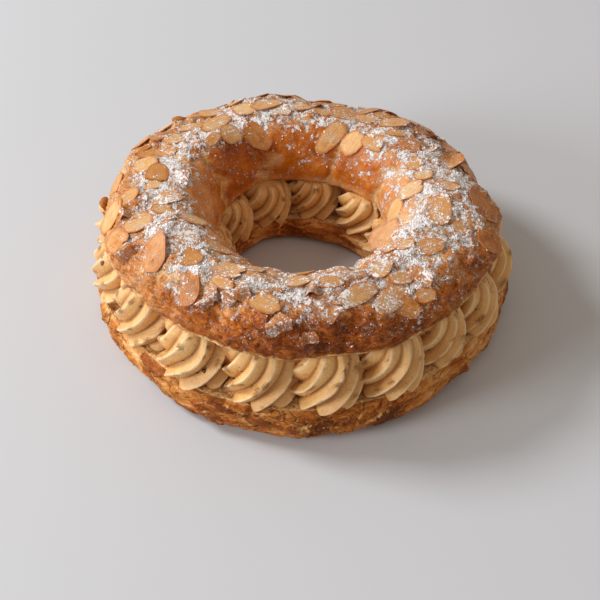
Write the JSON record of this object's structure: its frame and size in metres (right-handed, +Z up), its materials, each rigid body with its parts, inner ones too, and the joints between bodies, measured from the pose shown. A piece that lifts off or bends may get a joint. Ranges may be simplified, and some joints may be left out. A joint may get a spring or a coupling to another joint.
{
  "type": "paris brest pastry",
  "caption": "Ring of choux pastry split level, filled with piped praline cream rosettes round its outside and round its hole, under a domed browned lid.",
  "frame": {"origin": "centre of the ring's box at its flat underside, on the axis of the hole", "axes": "+Z up through the hole, out of the lid; -Y towards the front, the side where the lid lies highest; +X to the right seen from the front"},
  "size_m": [0.206, 0.2024, 0.0715],
  "materials": {
    "baked_crust": "baked choux crust, golden to mid brown, cracked and slightly glossy, with a pale open crumb along the cut rim",
    "praline_cream": "smooth pale caramel cream with a soft satin sheen and fine darker praline specks",
    "glazed_crust": "egg-glazed choux crust, golden brown to deep reddish brown, glossy in places, lightly cracked",
    "almond_flakes": "toasted sliced almond, pale tan inside with a browner rim",
    "icing_sugar": "dry white icing sugar, granular and patchy",
    "nut_specks": "chopped caramelised hazelnut, dark brown"
  },
  "bodies": {
    "root": {"choux_base": "baked_crust", "praline_cream": "praline_cream", "choux_lid": "glazed_crust"}
  },
  "joints": []
}
